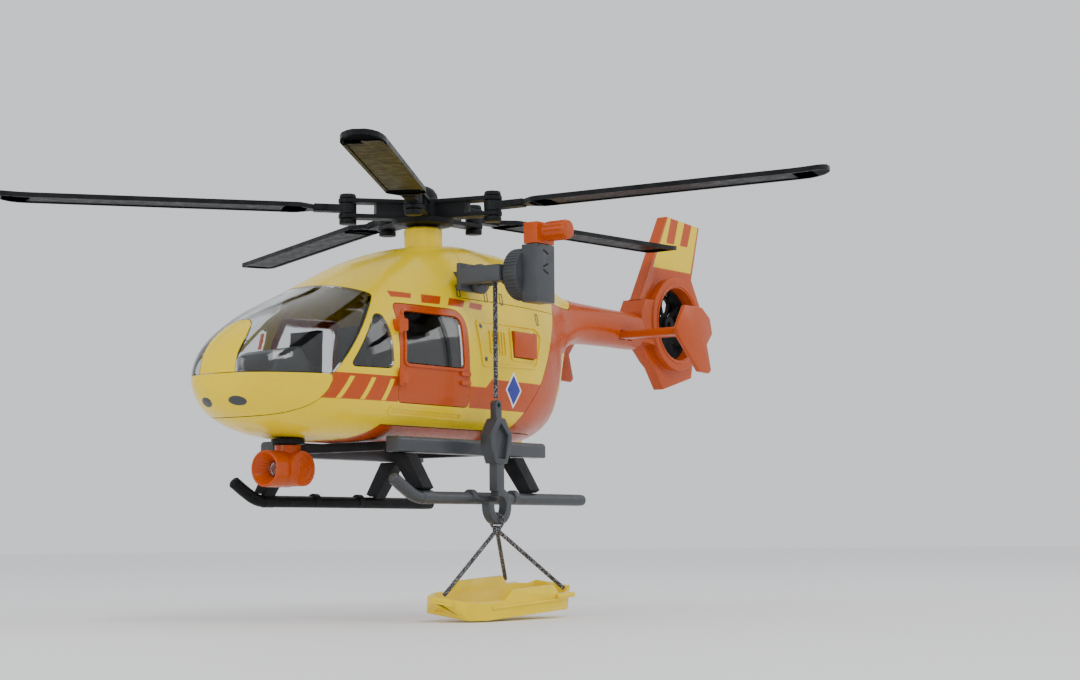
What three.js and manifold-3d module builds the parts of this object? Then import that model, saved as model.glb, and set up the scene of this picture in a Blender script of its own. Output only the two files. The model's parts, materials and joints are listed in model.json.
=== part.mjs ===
// Rescue helicopter scale model with a rope winch, hook and stretcher.
// Millimetres. +X points to the nose, +Y to port (the winch side), +Z up.
// Heights below are measured from the underside of the skids and the last group moves the whole
// model down by gripHeight, so that the origin is the point on the mast axis where a hand holds it.
import * as THREE from "three";
import { mergeVertices } from "three/addons/utils/BufferGeometryUtils.js";
import Module from "manifold-3d";

const wasm = await Module();
wasm.setup();

// Driving dimensions
const gripHeight = 65;
const gap = 0.3; // between pieces that meet
const wall = 1.6; // moulded shell
const mastX = -2; // rotor mast and cowl neck
const rotorRadius = 171.5;
const pinRadius = 31.3; // blade pins, from the mast axis
const firstBladeAngle = 31.5; // degrees from +X towards +Y
const bladeZ = 121.5; // mid-height of the blade roots
const armPlate = 1.6; // hub arm: two plates with the blade root between them
const armLow = bladeZ - 4;
const armHigh = bladeZ + 2.4;
const bladeChord = 15.6;
const bladeSag = [-0.6, 1.7, 0.3, -1.6, 0.3]; // how each blade sits on its loose pin, degrees up
const skidY = 40.3;
const skidR = 2.4;
const skidZ = skidR - 0.25; // the tube has a narrow flat underneath
const beltline = 47.2; // lower edge of the glazing
const fanX = -189.8;
const fanZ = 89;
const ductR = 17.5;
const lineX = 10.4;
const lineY = 46.1;
const drumZ = 89.5;
const drumX = 7.2;
const windingR = 3.2; // the line leaves the drum at this radius
const lineR = 0.95;
const slingZ = -5.5; // where the slings hang on the hook
const lampX = 80;
const lampZ = 13.1;

// Colours of the mouldings
const yellow = 0xf2d21b;
const orange = 0xd9571f;
const darkGrey = 0x4b4d50;
const black = 0x1d1e20;
const clear = 0xdfe6e8;

const rad = (degrees) => (degrees * Math.PI) / 180;
const V = (x, y, z) => new THREE.Vector3(x, y, z);

// ---- solids -------------------------------------------------------------------------------

function solid(geometry) {
  const plain = geometry.index ? geometry.toNonIndexed() : geometry.clone();
  const position = new THREE.BufferGeometry().setAttribute("position", plain.getAttribute("position"));
  const merged = mergeVertices(position, 1e-4);
  const index = merged.index.array;
  const triVerts = [];
  for (let i = 0; i < index.length; i += 3) {
    const [a, b, c] = index.slice(i, i + 3);
    if (a !== b && b !== c && c !== a) triVerts.push(a, b, c);
  }
  return new wasm.Manifold(
    new wasm.Mesh({
      numProp: 3,
      vertProperties: merged.attributes.position.array,
      triVerts: new Uint32Array(triVerts),
    }),
  );
}

function geometryOf(body) {
  const mesh = body.getMesh();
  const geometry = new THREE.BufferGeometry();
  geometry.setAttribute("position", new THREE.BufferAttribute(mesh.vertProperties, 3));
  geometry.setIndex(new THREE.BufferAttribute(mesh.triVerts, 1));
  return geometry;
}

const join = (...bodies) => bodies.reduce((a, b) => a.add(b));
const cut = (body, ...tools) => tools.reduce((a, b) => a.subtract(b), body);
const mirrored = (body) => body.mirror([0, 1, 0]);

function box(x0, x1, y0, y1, z0, z1) {
  const geometry = new THREE.BoxGeometry(x1 - x0, y1 - y0, z1 - z0);
  return solid(geometry.translate((x0 + x1) / 2, (y0 + y1) / 2, (z0 + z1) / 2));
}

// A cylinder or cone from a to b.
function rod(a, b, r, sides = 24, r2 = r) {
  const along = b.clone().sub(a);
  const geometry = new THREE.CylinderGeometry(r2, r, along.length(), sides);
  const turn = new THREE.Quaternion().setFromUnitVectors(V(0, 1, 0), along.clone().normalize());
  geometry.applyQuaternion(turn);
  const middle = a.clone().add(b).multiplyScalar(0.5);
  return solid(geometry.translate(middle.x, middle.y, middle.z));
}

// A turned body on the Z axis from [radius, z] points that start and end on the axis.
function turned(profile, sides = 24) {
  const points = profile.map(([r, z]) => new THREE.Vector2(r, z));
  return solid(new THREE.LatheGeometry(points, sides).rotateX(Math.PI / 2));
}

const outline = (points) => new THREE.Shape(points.map(([a, b]) => new THREE.Vector2(a, b)));
const extruded = (points, depth) =>
  new THREE.ExtrudeGeometry(outline(points), { depth, bevelEnabled: false });

// Prisms: side view [x, z] across Y, plan view [x, y] up Z, front view [y, z] along X.
const sidePrism = (points, y0, y1) =>
  solid(extruded(points, y1 - y0).rotateX(Math.PI / 2).translate(0, y1, 0));
const planPrism = (points, z0, z1) => solid(extruded(points, z1 - z0).translate(0, 0, z0));
const frontPrism = (points, x0, x1) =>
  solid(extruded(points, x1 - x0).rotateX(Math.PI / 2).rotateZ(Math.PI / 2).translate(x0, 0, 0));

const tubeAlong = (points, r, sides, steps, turn = 0) => {
  const ring = [];
  for (let i = 0; i < sides; i++) {
    const a = turn + (2 * Math.PI * (i + 0.5)) / sides;
    ring.push([r * Math.cos(a), r * Math.sin(a)]);
  }
  const path = points.length === 2 ? new THREE.LineCurve3(...points) : new THREE.CatmullRomCurve3(points);
  return solid(
    new THREE.ExtrudeGeometry(outline(ring), { steps, bevelEnabled: false, extrudePath: path }),
  );
};

// A side-view outline moved outwards by d, so that a neighbour keeps its gap.
function grown(points, d) {
  const area = points.reduce((sum, [x, z], i) => {
    const [u, w] = points[(i + 1) % points.length];
    return sum + x * w - u * z;
  }, 0);
  const side = area > 0 ? 1 : -1;
  const normal = ([x, z], [u, w]) => {
    const length = Math.hypot(u - x, w - z);
    return [(side * (w - z)) / length, (-side * (u - x)) / length];
  };
  return points.map((p, i) => {
    const before = points[(i + points.length - 1) % points.length];
    const after = points[(i + 1) % points.length];
    const m = normal(before, p);
    const n = normal(p, after);
    const k = d / (1 + m[0] * n[0] + m[1] * n[1]);
    return [p[0] + k * (m[0] + n[0]), p[1] + k * (m[1] + n[1])];
  });
}

// Corner points of an outline replaced by short arcs of radius r.
function rounded(points, r, steps = 3) {
  const made = [];
  points.forEach((p, i) => {
    const a = new THREE.Vector2(...points[(i + points.length - 1) % points.length]);
    const b = new THREE.Vector2(...points[(i + 1) % points.length]);
    const corner = new THREE.Vector2(...p);
    const radius = Array.isArray(r) ? r[i] : r;
    const from = corner.clone().add(a.sub(corner).setLength(radius));
    const to = corner.clone().add(b.sub(corner).setLength(radius));
    for (let k = 0; k <= steps; k++) {
      const t = k / steps;
      const q = [0, 1].map((axis) => {
        const [f, c, g] = [from, corner, to].map((v) => v.getComponent(axis));
        return (1 - t) ** 2 * f + 2 * t * (1 - t) * c + t * t * g;
      });
      made.push(q);
    }
  });
  return made;
}

// ---- fuselage surface -----------------------------------------------------------------------

// Stations from nose to tail: x, top, bottom, half width, height of the widest line,
// and the squareness of the upper and lower halves (2 is an ellipse).
const stations = [
  [118.6, 48.8, 44.4, 2.6, 46.5, 2.0, 2.0],
  [118.0, 53.0, 39.4, 9.0, 46.5, 2.0, 2.0],
  [115, 58.6, 34.8, 15.6, 46.5, 2.0, 2.0],
  [110, 63.6, 31.4, 20.9, 46.6, 2.0, 2.1],
  [103, 68.4, 28.6, 25.8, 46.8, 2.0, 2.3],
  [94, 73.2, 26.5, 29.8, 47.2, 2.1, 2.5],
  [82, 78.4, 25.0, 32.6, 47.8, 2.2, 2.8],
  [70, 83.2, 24.3, 34.0, 48.5, 2.3, 3.0],
  [57, 89.2, 24.2, 34.6, 49.2, 2.4, 3.2],
  [43, 95.6, 24.2, 34.8, 49.5, 2.4, 3.2],
  [22, 102.4, 24.2, 34.8, 49.5, 2.4, 3.2],
  [0, 106.6, 24.2, 34.6, 49.5, 2.4, 3.2],
  [-16, 107.9, 24.2, 34.2, 49.5, 2.4, 3.2],
  [-32, 107.6, 24.3, 33.0, 49.6, 2.3, 3.0],
  [-47, 106.8, 25.9, 30.4, 51.0, 2.3, 2.7],
  [-60, 105.4, 29.0, 26.4, 54.0, 2.3, 2.5],
  [-68, 103.8, 34.6, 22.8, 58.0, 2.2, 2.3],
  [-75, 101.7, 45.0, 18.8, 64.0, 2.2, 2.2],
  [-81, 99.4, 56.0, 15.6, 69.0, 2.2, 2.2],
  [-88, 96.6, 65.0, 12.8, 74.5, 2.2, 2.2],
  [-96, 94.2, 70.0, 11.0, 79.0, 2.2, 2.2],
  [-107, 93.0, 73.6, 9.6, 82.0, 2.3, 2.2],
  [-120, 92.6, 74.6, 8.8, 83.0, 2.4, 2.2],
  [-140, 92.2, 74.8, 8.5, 83.2, 2.4, 2.2],
  [-160, 91.8, 74.8, 8.2, 83.2, 2.4, 2.2],
];

const power = (v, n) => Math.sign(v) * Math.abs(v) ** (2 / n);

// One ring of the fuselage at a station, moved inwards by inset.
function ring([x, top, bottom, half, waist, upper, lower], inset, count) {
  const points = [];
  for (let i = 0; i < count; i++) {
    const a = (2 * Math.PI * i) / count;
    const s = Math.sin(a);
    const rise = s >= 0 ? top - inset - waist : waist - bottom - inset;
    const n = s >= 0 ? upper : lower;
    points.push(V(x, (half - inset) * power(Math.cos(a), n), waist + rise * power(s, n)));
  }
  return points;
}

// A closed skin through rings of equal point counts.
function skin(rings) {
  const n = rings[0].length;
  const vertices = rings.flat().flatMap((p) => [p.x, p.y, p.z]);
  const faces = [];
  for (let r = 0; r + 1 < rings.length; r++) {
    for (let i = 0; i < n; i++) {
      const a = r * n + i;
      const b = r * n + ((i + 1) % n);
      faces.push(a, a + n, b, b, a + n, b + n);
    }
  }
  for (const [r, flip] of [[0, true], [rings.length - 1, false]]) {
    const centre = rings[r].reduce((sum, p) => sum.add(p), V(0, 0, 0)).multiplyScalar(1 / n);
    const c = vertices.length / 3;
    vertices.push(centre.x, centre.y, centre.z);
    for (let i = 0; i < n; i++) {
      const a = r * n + i;
      const b = r * n + ((i + 1) % n);
      faces.push(...(flip ? [c, a, b] : [c, b, a]));
    }
  }
  const geometry = new THREE.BufferGeometry();
  geometry.setAttribute("position", new THREE.Float32BufferAttribute(vertices, 3));
  geometry.setIndex(faces);
  return solid(geometry);
}

const around = 26;
const outer = skin(stations.map((s) => ring(s, 0, around)));
const hollow = skin(
  stations
    .filter(([x]) => x <= 118)
    .map((s, i) => ring([s[0] - (i ? 0 : wall * 0.6), ...s.slice(1)], wall, around)),
);
const shell = cut(outer, hollow);
const slightlyBigger = skin(stations.map((s) => ring(s, -gap, around)));

// ---- side-view outlines of the pieces that the shell is divided into ---------------------------

const far = 60;
const across = (points) => sidePrism(points, -far, far);
const glazing = [[135, beltline], [89.5, beltline], [60, 79.5], [72, 84.5], [78, 115], [135, 115]];
const noseCap = [[135, beltline - gap], [89.5, beltline - gap], [91, 41.5], [95.5, 36], [103, 32.4],
  [112, 31.2], [135, 32.4]];
const bellyTray = [[74, 10], [60, 29.5], [-44, 29.5], [-44, 10]];
const rearQuarter = [[-19.5, 29.8], [-41.5, 51.5], [-66, 87.3], [-93, 87.3], [-99, 92], [-104, 110],
  [-175, 110], [-175, 60], [-120, 10], [-44 - gap, 10], [-44 - gap, 29.8]];
const rearDoor = [[-59.5, 10], [-59.5, 46], [-73.5, 66.8], [-100, 66.8], [-110, 60], [-110, 10]];
const cowlSide = [[15, 82], [6, 92], [-2.6, 103], [-2.6, 115], [-98.5, 115], [-98.5, 92.3], [-92.8, 87.6],
  [-66.2, 87.6], [-62, 82]];
const doorway = rounded([[12.2, 38.1], [56.4, 38.1], [53.6, 76.4], [12.2, 76.4]], [3, 3, 3, 9]);
const pilotCorners = [[81.6, 50.4], [59, 50.8], [59, 64], [61.2, 71.2], [64.4, 71.2]];
const pilotWindow = rounded(pilotCorners, [2.5, 2.5, 2, 1.4, 1.4]);
const glassCorners = [[16.6, 53.4], [51.8, 53.4], [49.4, 73.2], [16.6, 73.2]];
const doorGlass = rounded(glassCorners, [1.5, 1.5, 1.5, 4]);

const bridgePlan = [[130, -9], [130, 9], [112, 8.4], [106.5, 6], [104, 2.5], [104, -2.5], [106.5, -6],
  [112, -8.4]];

// ---- model -------------------------------------------------------------------------------------

const model = new THREE.Group();

function add(name, body, colour, roughness = 0.35, metalness = 0, opacity = 1) {
  const material = new THREE.MeshStandardMaterial({
    color: colour,
    roughness,
    metalness,
    transparent: opacity < 1,
    opacity,
  });
  const mesh = new THREE.Mesh(geometryOf(body), material);
  mesh.name = name;
  model.add(mesh);
  return body;
}

// The largest of a body's separate pieces: slivers that a seam leaves are dropped.
const largest = (body) => body.decompose().reduce((a, b) => (a.volume() > b.volume() ? a : b));
const sides = [["port", (b) => b], ["starboard", mirrored]];
const portHalf = box(-200, 200, 5, far, 0, 120);
const shellPart = (points) => shell.intersect(across(points));

const beaconPlan = [[-56, 0], [-60, 5], [-74, 5], [-78, 0], [-74, -5], [-60, -5]];
const exhaust = { x: -71, z: 95.5, r: 4, reach: 15 };
const button = { x0: -33.6, x1: -18, z0: 60.2, z1: 70.4 };
const stabilizer = { x0: -148.5, x1: -137.5, z0: 78.2, z1: 81.8 };

function addFuselage() {
  const neckHole = rod(V(mastX, 0, 80), V(mastX, 0, 120), 3.4);
  const neck = cut(rod(V(mastX, 0, 103), V(mastX, 0, 114), 8, 10), hollow);
  const buttonHole = box(button.x0 - gap, button.x1 + gap, 20, 50, button.z0 - gap, button.z1 + gap);
  const upper = cut(
    shell,
    ...[glazing, noseCap, bellyTray, rearQuarter, cowlSide].map((points) => across(grown(points, gap))),
  );
  const openings = [doorway, pilotWindow].map((points) => across(grown(points, gap)));
  add("body_shell", largest(cut(join(upper, neck), neckHole, buttonHole, ...openings)), yellow);
  add("nose_cap", largest(shellPart(noseCap)), yellow);

  const bridge = planPrism(bridgePlan, beltline, 80);
  const bridgeRoom = planPrism(grown(bridgePlan, gap), beltline - 1, 81);
  add("windscreen", largest(cut(shellPart(glazing), bridgeRoom)), clear, 0.05, 0, 0.3);
  add("nose_bridge", largest(shellPart(glazing).intersect(bridge)), yellow);

  const [x0, x1, y0, y1] = [-34, -2, -13, 13];
  add("belly_tray", largest(cut(shellPart(bellyTray), box(x0, x1, y0, y1, 20, 30))), orange);
  add("battery_cover", box(x0 + gap, x1 - gap, y0 + gap, y1 - gap, 24.2, 25.7), orange);

  const neckRoom = rod(V(mastX, 0, 95), V(mastX, 0, 120), 8 + gap, 10);
  const beaconHole = planPrism(grown(beaconPlan, gap), 90, 115);
  const exhaustHole = rod(V(exhaust.x, -30, exhaust.z), V(exhaust.x, 30, exhaust.z), exhaust.r + gap);
  add("engine_cowl", largest(cut(shellPart(cowlSide), neckRoom, beaconHole, exhaustHole)), yellow);
  const proud = skin(stations.map((s) => ring(s, -1, around)));
  add("beacon_lens", cut(proud, hollow).intersect(planPrism(beaconPlan, 90, 115)), 0x2f6fb5, 0.1);
  const stack = (y0, y1, r, z = exhaust.z) => rod(V(exhaust.x, y0, z), V(exhaust.x, y1, z), r, 16);
  const pipe = cut(stack(6, exhaust.reach, exhaust.r), stack(8, 30, exhaust.r - 1.2));
  const tieBar = stack(-7, 7, 2, exhaust.z - 1.5);
  add("exhaust_pipes", join(pipe, mirrored(pipe), tieBar), darkGrey);
  for (const [side, place] of sides) {
    const pane = shellPart(pilotWindow).intersect(portHalf);
    add("pilot_window_" + side, place(pane), clear, 0.05, 0, 0.4);
  }
}

// Doors turn on knuckles that stand just outside the skin at their front edge.
const doorPivot = { x: 56.6, y: 36 };
const rearPivot = { x: -60.6, z: 27.2 };

function addDoors() {
  for (const [side, place] of sides) {
    const panel = shellPart(doorway).intersect(portHalf);
    const knuckles = [44, 64].map((z) =>
      join(
        rod(V(doorPivot.x, doorPivot.y, z), V(doorPivot.x, doorPivot.y, z + 7), 0.9, 12),
        box(51.4, doorPivot.x, 35.1, 36.5, z, z + 7),
        box(51.4, 53.4, 32.4, 35.2, z, z + 7),
      ),
    );
    const grips = [46.6, 50.2].map((z) => box(12.6, 18.5, 34, 35.7, z, z + 1.6));
    const leaf = join(cut(panel, across(grown(doorGlass, gap))), ...knuckles, ...grips);
    add("door_" + side, place(largest(leaf)), orange);
    const glass = shellPart(doorGlass).intersect(portHalf);
    add("door_window_" + side, place(glass), clear, 0.05, 0, 0.4);
  }
  const knuckle = rod(V(rearPivot.x, -5, rearPivot.z), V(rearPivot.x, 5, rearPivot.z), 1.1, 12);
  const arm = box(-63.5, rearPivot.x, -5, 5, 26.6, 31.2);
  add("rear_door", largest(join(shellPart(rearDoor), cut(arm, hollow), knuckle)), yellow);
}

// Side view of the fin and fan housing, from the foot of the leading edge and up.
const finSide = [[-158.2, 92.6], [-187.7, 141.7], [-217.9, 139.6], [-209.8, 112.6], [-222.6, 92],
  [-222.6, 85.2], [-210.7, 75], [-208.4, 64.1], [-182.3, 57.2], [-174.5, 67], [-159, 78.6]];
const finHalf = 2.8;
const housingHalf = 7.2;
const housingR = 22.5;

function addTail() {
  const barHole = box(
    stabilizer.x0 - gap, stabilizer.x1 + gap, -20, 20, stabilizer.z0 - gap, stabilizer.z1 + gap,
  );
  const quarter = cut(shellPart(rearQuarter), across(grown(rearDoor, gap)), barHole);
  const boomEnd = box(-160.5, -157.9, -30, 30, 60, 110);
  add("tail_boom", largest(cut(quarter, boomEnd)), orange);

  const fan = (y) => V(fanX, y, fanZ);
  const plate = sidePrism(finSide, -finHalf, finHalf);
  const drum = rod(fan(-housingHalf), fan(housingHalf), housingR, 32);
  const nose = sidePrism([[-158.2, 92.6], [-162, 99], [-176, 99], [-176, 77], [-159, 78.6]], -6.4, 6.4);
  const rounding = sidePrism(finSide, -far, far);
  const housing = join(plate, drum.intersect(rounding), nose);
  const duct = rod(fan(-20), fan(20), ductR, 32);
  const stub = rod(V(-157, 0, 83.5), V(-163, 0, 83.5), 4.4, 16);
  add("tail_fin", join(cut(housing, duct), cut(stub, duct)), orange);

  const disc = rod(fan(-6.4), fan(-4.6), ductR - gap, 32);
  const windows = [];
  for (let k = 0; k < 10; k++) {
    const a = (2 * Math.PI * k) / 10;
    const b = (2 * Math.PI * (k + 1)) / 10;
    const corner = (t, r) => [fanX + r * Math.cos(t), fanZ + r * Math.sin(t)];
    windows.push(
      sidePrism([corner(a + 0.16, 5.4), corner(a + 0.06, 15.6), corner((a + b) / 2, 15.9),
        corner(b - 0.06, 15.6), corner(b - 0.16, 5.4)], -8, 0),
    );
  }
  const axle = rod(fan(-5), fan(3.4), 1.1, 12);
  add("fan_stator", join(cut(disc, ...windows), axle), black, 0.5);
  const blades = [];
  for (let k = 0; k < 10; k++) {
    const blade = box(3, 16, -1.4, -0.2, -1.9, 1.9).rotate([28, 0, 0]);
    blades.push(blade.rotate([0, 36 * k, 0]).translate([fanX, 0, fanZ]));
  }
  const rim = cut(rod(fan(-3), fan(1.6), ductR - 0.5, 32), rod(fan(-9), fan(9), 15.6, 32));
  const boss = rod(fan(-3.6), fan(2.2), 4, 20);
  const fanBody = cut(join(rim, boss, ...blades), rod(fan(-9), fan(9), 1.4, 12));
  add("tail_fan", fanBody, black, 0.5);

  add(
    "stabilizer",
    box(stabilizer.x0, stabilizer.x1, -37.4, 37.4, stabilizer.z0, stabilizer.z1),
    orange,
  );
  const endPlate = [[-135.5, 80.5], [-143, 92], [-158, 92], [-165, 87.5], [-167, 80.5], [-162, 75],
    [-165.5, 63.5], [-163.5, 61.8], [-154.8, 62.2], [-137, 77.5]];
  for (const [side, place] of sides) {
    add("end_plate_" + side, place(sidePrism(endPlate, 37.7, 39.8)), orange);
  }
}

// Angles that carry a blade or an arm from +X to its place round the mast.
const bladeTurns = bladeSag.map((_, k) => firstBladeAngle + (360 / bladeSag.length) * k);

function addRotor() {
  const onMast = (b) => b.translate([mastX, 0, 0]);
  const shaft = turned([[0, 97], [5, 97], [5, 98.7], [2.2, 98.7], [2.2, 118.5], [0, 118.5]]);
  add("rotor_shaft", onMast(shaft), 0x8d9094, 0.3, 0.9);

  const core = turned([[2.2 + gap, 114.4], [12.4, 115.4], [13, 117.6], [8.4, 118.4], [8, 125.4], [6.2, 126.6],
    [5.8, 128.4], [4.4, 130.4], [2.2, 131.6], [0, 132], [0, 118.8], [2.2 + gap, 118.8],
    [2.2 + gap, 114.4]], 20);
  const pin = (z) => V(pinRadius, 0, z);
  const pinHole = rod(pin(110), pin(135), 1.8, 12);
  const arms = bladeTurns.map((turn) => {
    const plates = [armLow, armHigh].map((z) =>
      join(box(5, pinRadius, -3.9, 3.9, z, z + armPlate), rod(pin(z), pin(z + armPlate), 3.9, 12)),
    );
    const web = box(5, 20, -3.3, 3.3, armLow, armHigh + armPlate);
    return cut(join(...plates, web), pinHole).rotate([0, 0, turn]);
  });
  add("rotor_hub", onMast(join(core, ...arms)), black, 0.45);

  const half = bladeChord / 2;
  const tip = rotorRadius;
  const plan = [[42, -2.9], [46, -3.2], [51, -half], [tip - 9, -half], [tip - 2.5, -half + 2], [tip, -1],
    [tip, 2.5], [tip - 3, half], [51, half], [46, 3.2], [42, 2.9]];
  const eye = rod(pin(bladeZ - 2), pin(bladeZ + 2), 3.6, 12);
  const root = box(pinRadius, 47, -2.4, 2.4, bladeZ - 1.5, bladeZ + 1.5);
  const blade = join(planPrism(plan, bladeZ - 0.95, bladeZ + 0.95), eye, root);
  const armTop = armHigh + armPlate;
  const bolt = turned([[0, armLow - 2.5], [3.6, armLow - 2.5], [3.6, armLow - gap], [1.5, armLow - gap],
    [1.5, armTop + gap], [3.6, armTop + gap], [3.2, armTop + 2], [0, armTop + 2]], 12);
  bladeTurns.forEach((turn, k) => {
    const sagged = blade.translate([-pinRadius, 0, -bladeZ]).rotate([0, -bladeSag[k], 0]);
    const seated = cut(sagged.translate([pinRadius, 0, bladeZ]), pinHole);
    add("rotor_blade_" + (k + 1), onMast(seated.rotate([0, 0, turn])), black, 0.4);
    const standing = bolt.translate([pinRadius, 0, 0]).rotate([0, 0, turn]);
    add("blade_pin_" + (k + 1), onMast(standing), black);
  });
}

function addLandingGear() {
  const route = (side, r) => {
    const bend = [V(46, 0, skidZ), V(54, 0, skidZ + 0.6), V(61, 0, skidZ + 3.8), V(67.5, 0, skidZ + 7.6)];
    const points = [V(-58, 0, skidZ), V(-20, 0, skidZ), V(20, 0, skidZ), ...bend];
    return tubeAlong(points.map((p) => V(p.x, side * skidY, p.z)), r, 12, 12);
  };
  for (const [side, s] of [["port", 1], ["starboard", -1]]) {
    const lying = (x0, x1, z, r) => rod(V(x0, s * skidY, z), V(x1, s * skidY, z), r, 16);
    const collars = [-9.5, 18].map((x) => lying(x, x + 3, skidZ + 0.55, skidR + 0.5));
    const plug = lying(-58.4, -56, skidZ, skidR * 0.9);
    const flat = box(-100, 100, -60, 60, -3, 0);
    const skid = cut(join(route(s, skidR), ...collars, plug), flat);
    add("skid_" + side, skid, side === "port" ? darkGrey : black, 0.45);
  }
  const arch = [[-43, 5.8], [-35, 19], [-28.3, 19], [-28.3, 23.8], [28.3, 23.8], [28.3, 19], [35, 19],
    [43, 5.8], [38.4, 3.4], [29.5, 15.6], [24, 20.4], [-24, 20.4], [-29.5, 15.6], [-38.4, 3.4]];
  const clearOfSkids = [1, -1].map((s) => route(s, skidR + gap));
  for (const [name, x] of [["front", 46], ["rear", -23]]) {
    add("cross_strut_" + name, cut(frontPrism(arch, x, x + 6.5), ...clearOfSkids), black, 0.5);
  }
  for (const [side, place] of sides) {
    const beam = frontPrism([[28.7, 19.4], [35.6, 19.4], [35.6, 24.4], [34.6, 25.4], [28.7, 25.4]], -38, 57);
    add("side_step_" + side, place(beam), darkGrey, 0.5);
  }
}

function addSearchlight() {
  const mount = turned([[0, 20.6], [3, 20.6], [3, 22.4], [6.4, 22.4], [6.4, 24.5], [0, 24.5]], 20);
  add("lamp_mount", cut(mount.translate([lampX, 0, 0]), slightlyBigger), black);
  const drum = rod(V(lampX, -7.8, lampZ), V(lampX, 7.8, lampZ), 6.6, 24);
  const barrel = rod(V(lampX, 0, lampZ), V(lampX + 12.6, 0, lampZ), 6.9, 24);
  const neck = cut(
    rod(V(lampX, 0, lampZ), V(lampX, 0, 22), 5, 20),
    rod(V(lampX, 0, 20.3), V(lampX, 0, 30), 3 + gap, 20),
  );
  const dish = rod(V(lampX + 7.6, 0, lampZ), V(lampX + 12.8, 0, lampZ), 2.9, 24, 6);
  const lensBore = rod(V(lampX + 4, 0, lampZ), V(lampX + 12, 0, lampZ), 2.6 + gap, 20);
  add("searchlight", cut(join(drum, barrel, neck), dish, lensBore), orange);
  add("searchlight_lens", rod(V(lampX + 4.4, 0, lampZ), V(lampX + 8.2, 0, lampZ), 2.6, 20), clear, 0.05);
}

function addWinch() {
  const at = (y) => V(drumX, y, drumZ);
  const bar = box(14.6, 18.4, 33, 54, 86.4, 93);
  const cheek = box(2, 18.4, 33, 35, 84, 95);
  const foot = box(4, 10, 22, 34, 86.4, 93);
  const axleHole = rod(at(30), at(40), 1.6 + gap, 12);
  add("winch_bracket", cut(join(bar, cheek, foot), slightlyBigger, axleHole), darkGrey, 0.45);
  const spool = join(
    rod(at(31.4), at(37), 1.6, 12),
    rod(at(35.6), at(37), 6, 20),
    rod(at(36), at(55), windingR - 0.95, 16),
    rod(at(53.6), at(55), 6, 20),
    rod(at(54.6), at(61), 10, 30),
    box(drumX - 5.8, drumX + 5.8, 61, 68.4, 77.8, 100.4),
  );
  add("winch_drum", spool, darkGrey, 0.45);
  const arm = box(drumX - 5.8, drumX + 5.8, 62, 68.4, 100.4 + gap, 109);
  const knob = rod(V(drumX, 68, 105.4), V(drumX, 79.4, 105.4), 3.6, 16);
  add("crank_handle", join(arm, knob), orange);
}

function addHookAndLine() {
  const line = rod(V(lineX, lineY, 40.9), V(lineX, lineY, drumZ), lineR, 8);
  add("winch_line", line, black, 0.8);
  const hex = [[0, 33.6], [2.6, 33.2], [6.9, 27], [6.6, 22], [3.6, 15.6], [-3.6, 15.6], [-6.6, 22],
    [-6.9, 27], [-2.6, 33.2]];
  const block = sidePrism(hex.map(([x, z]) => [lineX + x, z]), lineY - 2.6, lineY + 2.6);
  const recess = [[0, 31.4], [4.6, 26.6], [2.6, 17.4], [-2.6, 17.4], [-4.6, 26.6]];
  const pocket = sidePrism(recess.map(([x, z]) => [lineX + x, z]), lineY + 0.8, lineY + 5);
  const eyePlate = join(
    box(lineX - 1.9, lineX + 1.9, lineY - 1.4, lineY + 1.4, 33, 38.6),
    rod(V(lineX, lineY - 1.4, 38.6), V(lineX, lineY + 1.4, 38.6), 1.9, 16),
  );
  const eye = rod(V(lineX, lineY - 3, 38.4), V(lineX, lineY + 3, 38.4), 0.9, 12);
  const stem = box(lineX - 2.6, lineX + 2.2, lineY - 1.9, lineY + 1.9, 5, 16);
  const bowl = cut(
    rod(V(lineX, lineY - 1.9, -1), V(lineX, lineY + 1.9, -1), 7.2, 28),
    rod(V(lineX, lineY - 3, -1), V(lineX, lineY + 3, -1), 4, 24),
    box(lineX + 1.2, lineX + 9, lineY - 3, lineY + 3, 0.5, 9),
  );
  add("hook_block", cut(join(cut(block, pocket), eyePlate, stem, bowl), eye), darkGrey, 0.45);
}

const tray = { length: 73, half: 13.4, height: 10.4, rim: 6.8, z: -41.2, wall: 1.5 };
const trayTilt = { roll: -8, pitch: 3 };
const cleats = [[34.4, 0], [-25, 13.2], [-22, -13.2]];

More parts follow.
